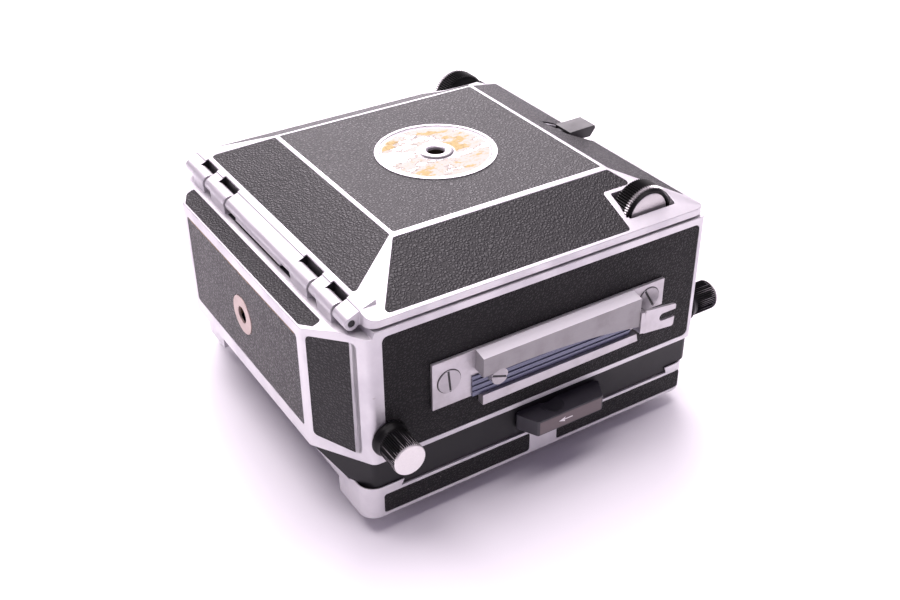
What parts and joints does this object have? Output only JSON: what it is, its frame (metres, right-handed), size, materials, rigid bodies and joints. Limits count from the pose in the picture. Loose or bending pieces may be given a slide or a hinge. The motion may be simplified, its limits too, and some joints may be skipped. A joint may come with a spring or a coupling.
{
  "type": "press camera",
  "caption": "Folding press camera, closed on its back: leather-covered metal body, hinged drop bed with tripod disc, focusing wheels, side grip rail, sliding revolving back with folding hood.",
  "frame": {"origin": "on the lens axis, on the surface that the hood of the back rests on", "axes": "+Z towards the camera's front, +X towards its top side, -Y towards the viewer's left"},
  "size_m": [0.1635, 0.1672, 0.0975],
  "materials": {
    "satin_alloy": "satin, finely grained cast alloy",
    "brushed_alloy": "brushed",
    "bright_steel": "polished",
    "leatherette": "pebbled grain, semi-matt",
    "black_paint": "satin",
    "black_anodised": "satin black, knurled",
    "black_plastic": "matt",
    "groove_plastic": "gloss",
    "bellows_cloth": "matt, pleated",
    "lens_glass": "coated",
    "ground_glass": "finely ground on one side"
  },
  "bodies": {
    "body": {"body_shell": "satin_alloy", "rear_housing": "black_paint", "leather_left": "leatherette", "leather_right": "leatherette", "leather_top": "leatherette", "leather_bottom": "leatherette", "leather_corners": "leatherette", "tripod_bush": "satin_alloy", "hinge_pin": "bright_steel", "grip_plate": "brushed_alloy", "grip_rail": "brushed_alloy", "grip_groove": "groove_plastic", "grip_strip": "brushed_alloy", "grip_fork": "brushed_alloy", "grip_screws": "bright_steel", "accessory_shoe": "satin_alloy", "bellows_frame": "black_paint", "bellows": "bellows_cloth"},
    "standard": {"standard_foot": "bright_steel", "standard_frame": "bright_steel", "lens_board": "black_paint", "shutter_housing": "black_anodised", "lens_barrel": "black_anodised", "lens_glass": "lens_glass"},
    "speed": {"speed_ring": "bright_steel"},
    "aperture": {"aperture_ring": "bright_steel"},
    "cocking": {"cocking_lever": "bright_steel"},
    "release": {"release_lever": "bright_steel"},
    "bed": {"bed_shell": "satin_alloy", "bed_leather_centre": "leatherette", "bed_leather_left": "leatherette", "bed_leather_right": "leatherette", "bed_leather_bottom": "leatherette", "bed_leather_top": "leatherette", "tripod_disc": "satin_alloy", "bed_rails": "bright_steel"},
    "focus": {"focus_shaft": "bright_steel", "focus_wheel_left": "black_anodised", "focus_wheel_right": "black_anodised"},
    "track": {"focus_track": "bright_steel"},
    "latch": {"bed_latch": "black_paint"},
    "lock_lever": {"track_lock": "black_paint"},
    "left_strut": {"strut_left": "bright_steel"},
    "right_strut": {"strut_right": "bright_steel"},
    "back": {"back_frame": "satin_alloy", "back_leather": "leatherette", "back_posts": "bright_steel"},
    "knob_left": {"lock_knob_left": "black_anodised"},
    "knob_right": {"lock_knob_right": "black_anodised"},
    "knob_top_left": {"lock_knob_top_left": "black_anodised"},
    "knob_top_right": {"lock_knob_top_right": "black_anodised"},
    "slide_button": {"release_slide": "black_plastic"},
    "revolving": {"revolving_ring": "black_paint", "ground_glass": "ground_glass", "hood_body": "black_paint"},
    "cover": {"hood_cover": "black_paint"},
    "left_leaf": {"hood_leaf_left": "black_paint"},
    "right_leaf": {"hood_leaf_right": "black_paint"}
  },
  "joints": [
    {"name": "bed_hinge", "type": "hinge", "parent": "body", "child": "bed", "pos_m": [-0.0698, 0, 0.084], "axis": [0, -1, 0], "range_deg": [0, 90]},
    {"name": "strut_left_turn", "type": "hinge", "parent": "bed", "child": "left_strut", "pos_m": [-0.03, -0.061, 0.081], "axis": [0, -1, 0], "range_deg": [-143, 0]},
    {"name": "strut_right_turn", "type": "hinge", "parent": "bed", "child": "right_strut", "pos_m": [-0.03, 0.061, 0.081], "axis": [0, -1, 0], "range_deg": [-143, 0]},
    {"name": "standard_slide", "type": "slide", "parent": "body", "child": "standard", "axis": [0, 0, 1], "range_m": [0, 0.0451], "deforming": ["bellows"]},
    {"name": "focus_turn", "type": "hinge", "parent": "bed", "child": "focus", "pos_m": [0.0475, 0, 0.086], "axis": [0, -1, 0], "range_deg": [0, 318.5]},
    {"name": "track_slide", "type": "slide", "parent": "bed", "child": "track", "axis": [1, 0, 0], "range_m": [0, 0.02]},
    {"name": "track_lock_turn", "type": "hinge", "parent": "bed", "child": "lock_lever", "pos_m": [-0.045, -0.026, 0.0785], "axis": [0, 0, 1], "range_deg": [-45, 45]},
    {"name": "bed_latch_turn", "type": "hinge", "parent": "bed", "child": "latch", "pos_m": [0.0572, 0.003, 0.087], "axis": [0, 0, -1], "range_deg": [0, 12], "stiffness_Nm_per_rad": 0.05},
    {"name": "speed_turn", "type": "hinge", "parent": "standard", "child": "speed", "pos_m": [0, 0, 0.07], "axis": [0, 0, 1], "range_deg": [-135, 135]},
    {"name": "aperture_turn", "type": "hinge", "parent": "standard", "child": "aperture", "pos_m": [0, 0, 0.0595], "axis": [0, 0, 1], "range_deg": [-25, 25]},
    {"name": "cocking_turn", "type": "hinge", "parent": "standard", "child": "cocking", "pos_m": [0, 0, 0.0622], "axis": [0, 0, 1], "range_deg": [-50, 0]},
    {"name": "shutter_release_turn", "type": "hinge", "parent": "standard", "child": "release", "pos_m": [0.024, 0.022, 0.0626], "axis": [0, 0, 1], "range_deg": [0, 18], "stiffness_Nm_per_rad": 0.01},
    {"name": "back_slide", "type": "slide", "parent": "body", "child": "back", "axis": [0, 0, -1], "range_m": [0, 0.025]},
    {"name": "knob_left_turn", "type": "hinge", "parent": "body", "child": "knob_left", "pos_m": [-0.0619, -0.07, 0.0402], "axis": [0, -1, 0], "continuous": true},
    {"name": "knob_right_turn", "type": "hinge", "parent": "body", "child": "knob_right", "pos_m": [-0.0619, 0.07, 0.0402], "axis": [0, 1, 0], "continuous": true},
    {"name": "knob_top_left_turn", "type": "hinge", "parent": "body", "child": "knob_top_left", "pos_m": [0.0693, -0.062, 0.0402], "axis": [1, 0, 0], "continuous": true},
    {"name": "knob_top_right_turn", "type": "hinge", "parent": "body", "child": "knob_top_right", "pos_m": [0.0693, 0.062, 0.0402], "axis": [1, 0, 0], "continuous": true},
    {"name": "release_slide_move", "type": "slide", "parent": "body", "child": "slide_button", "axis": [-1, 0, 0], "range_m": [0, 0.004], "stiffness_N_per_m": 150},
    {"name": "revolving_turn", "type": "hinge", "parent": "back", "child": "revolving", "pos_m": [0, 0, 0.01], "axis": [0, 0, 1], "continuous": true},
    {"name": "hood_cover_turn", "type": "hinge", "parent": "revolving", "child": "cover", "pos_m": [-0.0343, 0, 0.0012], "axis": [0, 1, 0], "range_deg": [0, 90]},
    {"name": "hood_leaf_left_turn", "type": "hinge", "parent": "revolving", "child": "left_leaf", "pos_m": [0, -0.045, 0.0027], "axis": [-1, 0, 0], "range_deg": [0, 90]},
    {"name": "hood_leaf_right_turn", "type": "hinge", "parent": "revolving", "child": "right_leaf", "pos_m": [0, 0.045, 0.0027], "axis": [1, 0, 0], "range_deg": [0, 90]}
  ],
  "couplings": [
    {"joint": "strut_left_turn", "follows": "bed_hinge", "ratio": -1.582},
    {"joint": "strut_right_turn", "follows": "bed_hinge", "ratio": -1.582},
    {"joint": "standard_slide", "follows": "bed_hinge", "m_per_rad": 0.0286},
    {"joint": "focus_turn", "follows": "track_slide", "rad_per_m": 277.78},
    {"joint": "hood_leaf_left_turn", "follows": "hood_cover_turn", "ratio": 1},
    {"joint": "hood_leaf_right_turn", "follows": "hood_cover_turn", "ratio": 1}
  ]
}
